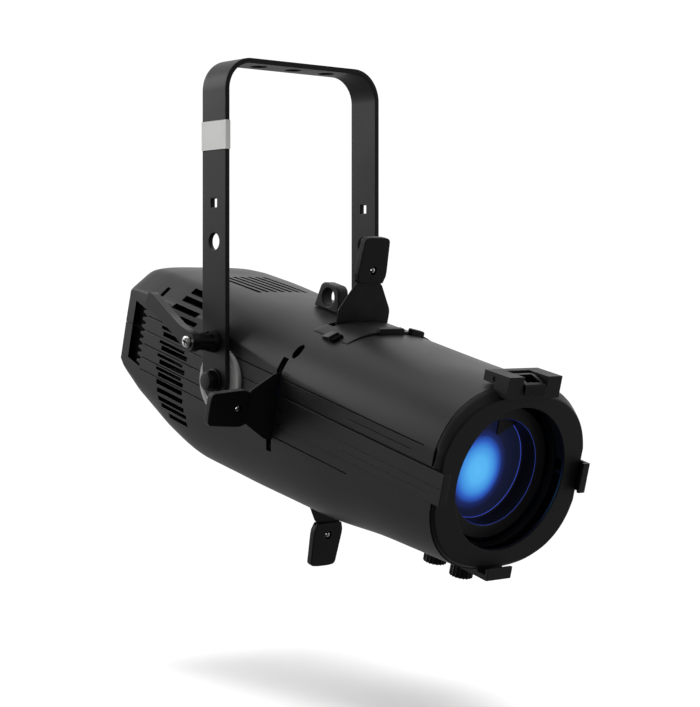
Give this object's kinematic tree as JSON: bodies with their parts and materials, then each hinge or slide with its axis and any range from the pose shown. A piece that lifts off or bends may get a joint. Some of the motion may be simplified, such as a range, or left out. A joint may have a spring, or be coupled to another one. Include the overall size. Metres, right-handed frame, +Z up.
{
  "type": "ellipsoidal spotlight",
  "caption": "LED ellipsoidal spotlight: vented lamp body with framing shutters, sliding zoom and focus lenses and a frame holder, tilting in a flat-bar hanging yoke.",
  "frame": {"origin": "centre of the middle hook hole, on the top face of the yoke's crossbar", "axes": "+Z up, towards whatever the lamp hangs from; -Y the way the beam points when the body is level; X along the tilt axis"},
  "size_m": [0.261, 0.4076, 0.391],
  "materials": {
    "cast_black": "satin powder coat on cast aluminium",
    "yoke_black": "satin powder coat on flat bar",
    "steel_black": "blackened steel",
    "blade_black": "heat-blackened sheet steel",
    "bright_steel": "bright plated steel",
    "sink_grey": "anodised aluminium",
    "tunnel_bright": "polished aluminium",
    "disc_grey": "matt moulded plastic",
    "label_grey": "matt printed film, left blank",
    "plastic_black": "matt moulded plastic",
    "grip_black": "matt moulded grip",
    "rubber_black": "matt rubber",
    "board_green": "circuit board",
    "board_white": "white metal-core board",
    "display_black": "clear window over a dark display",
    "lens_glass": "coated optical glass",
    "optic_clear": "clear moulded optic"
  },
  "bodies": {
    "yoke_body": {"yoke": "yoke_black", "yoke_label": "label_grey", "pivot_washer_left": "steel_black", "pivot_washer_right": "steel_black", "brake_pad": "rubber_black"},
    "lever_body": {"tilt_lever": "plastic_black", "clamp_screw": "bright_steel"},
    "lamp_body": {"upper_shell": "cast_black", "lower_shell": "cast_black", "gate_cover": "cast_black", "front_ring": "cast_black", "latch_pin": "steel_black", "safety_loop": "cast_black", "rear_panel": "cast_black", "pivot_bolt_left": "steel_black", "pivot_bolt_right": "steel_black", "friction_disc_left": "disc_grey", "friction_disc_right": "disc_grey", "power_inlet": "plastic_black", "power_outlet": "plastic_black", "data_input": "plastic_black", "data_output": "plastic_black", "display_window": "display_black", "control_board": "board_green", "driver_board": "board_green", "heat_sink": "sink_grey", "fan_frame": "plastic_black", "led_board": "board_white", "collimator": "optic_clear", "light_tunnel": "tunnel_bright", "gate_frame": "blade_black", "gate_front_plate": "blade_black", "guide_rod_left": "steel_black", "guide_rod_right": "steel_black", "knob_track": "blade_black"},
    "fan_body": {"fan_rotor": "plastic_black"},
    "latch_body": {"frame_latch": "blade_black"},
    "zoom_body": {"zoom_carriage": "plastic_black", "zoom_lens": "lens_glass"},
    "focus_body": {"focus_carriage": "plastic_black", "focus_lens": "lens_glass"},
    "zoom_knob_body": {"zoom_knob": "plastic_black"},
    "focus_knob_body": {"focus_knob": "plastic_black"},
    "shutter_top_body": {"shutter_blade_top": "blade_black", "shutter_grip_top": "grip_black", "shutter_rivet_top": "bright_steel"},
    "shutter_left_body": {"shutter_blade_left": "blade_black", "shutter_grip_left": "grip_black", "shutter_rivet_left": "bright_steel"},
    "shutter_bottom_body": {"shutter_blade_bottom": "blade_black", "shutter_grip_bottom": "grip_black", "shutter_rivet_bottom": "bright_steel"},
    "shutter_right_body": {"shutter_blade_right": "blade_black", "shutter_grip_right": "grip_black", "shutter_rivet_right": "bright_steel"},
    "button_1_body": {"menu_button_1": "rubber_black"},
    "button_2_body": {"menu_button_2": "rubber_black"},
    "button_3_body": {"menu_button_3": "rubber_black"},
    "button_4_body": {"menu_button_4": "rubber_black"}
  },
  "joints": [
    {"name": "body_tilt", "type": "hinge", "parent": "yoke_body", "child": "lamp_body", "pos_m": [0, 0, -0.2468], "axis": [1, 0, 0], "range_deg": [-65, 75]},
    {"name": "lever_turn", "type": "hinge", "parent": "yoke_body", "child": "lever_body", "pos_m": [-0.0773, 0, -0.2166], "axis": [1, 0, 0], "range_deg": [-70, 58]},
    {"name": "shutter_top_slide", "type": "slide", "parent": "lamp_body", "child": "shutter_top_body", "axis": [0, 0.2521, -0.9677], "range_m": [0, 0.026]},
    {"name": "shutter_left_slide", "type": "slide", "parent": "lamp_body", "child": "shutter_left_body", "axis": [1, 0, 0], "range_m": [0, 0.026]},
    {"name": "shutter_bottom_slide", "type": "slide", "parent": "lamp_body", "child": "shutter_bottom_body", "axis": [0, -0.2521, 0.9677], "range_m": [0, 0.026]},
    {"name": "shutter_right_slide", "type": "slide", "parent": "lamp_body", "child": "shutter_right_body", "axis": [-1, 0, 0], "range_m": [0, 0.026]},
    {"name": "zoom_slide", "type": "slide", "parent": "lamp_body", "child": "zoom_body", "axis": [0, 0.9677, 0.2521], "range_m": [0, 0.064]},
    {"name": "focus_slide", "type": "slide", "parent": "lamp_body", "child": "focus_body", "axis": [0, 0.9677, 0.2521], "range_m": [0, 0.01]},
    {"name": "zoom_knob_turn", "type": "hinge", "parent": "zoom_body", "child": "zoom_knob_body", "pos_m": [0, -0.16521, -0.3663], "axis": [0, -0.2521, 0.9677], "range_deg": [-180, 180]},
    {"name": "focus_knob_turn", "type": "hinge", "parent": "focus_body", "child": "focus_knob_body", "pos_m": [0, -0.19231, -0.37336], "axis": [0, -0.2521, 0.9677], "range_deg": [-180, 180]},
    {"name": "latch_open", "type": "hinge", "parent": "lamp_body", "child": "latch_body", "pos_m": [0, -0.25002, -0.23907], "axis": [-1, 0, 0], "range_deg": [0, 80], "stiffness_Nm_per_rad": 0.02, "springref_deg": -17.19},
    {"name": "fan_spin", "type": "hinge", "parent": "lamp_body", "child": "fan_body", "pos_m": [0, 0.10673, -0.19833], "axis": [0, 0.9677, 0.2521], "continuous": true},
    {"name": "button_1_press", "type": "slide", "parent": "lamp_body", "child": "button_1_body", "axis": [0, -0.9677, -0.2521], "range_m": [0, 0.001], "stiffness_N_per_m": 300, "springref_m": -0.0005},
    {"name": "button_2_press", "type": "slide", "parent": "lamp_body", "child": "button_2_body", "axis": [0, -0.9677, -0.2521], "range_m": [0, 0.001], "stiffness_N_per_m": 300, "springref_m": -0.0005},
    {"name": "button_3_press", "type": "slide", "parent": "lamp_body", "child": "button_3_body", "axis": [0, -0.9677, -0.2521], "range_m": [0, 0.001], "stiffness_N_per_m": 300, "springref_m": -0.0005},
    {"name": "button_4_press", "type": "slide", "parent": "lamp_body", "child": "button_4_body", "axis": [0, -0.9677, -0.2521], "range_m": [0, 0.001], "stiffness_N_per_m": 300, "springref_m": -0.0005}
  ]
}
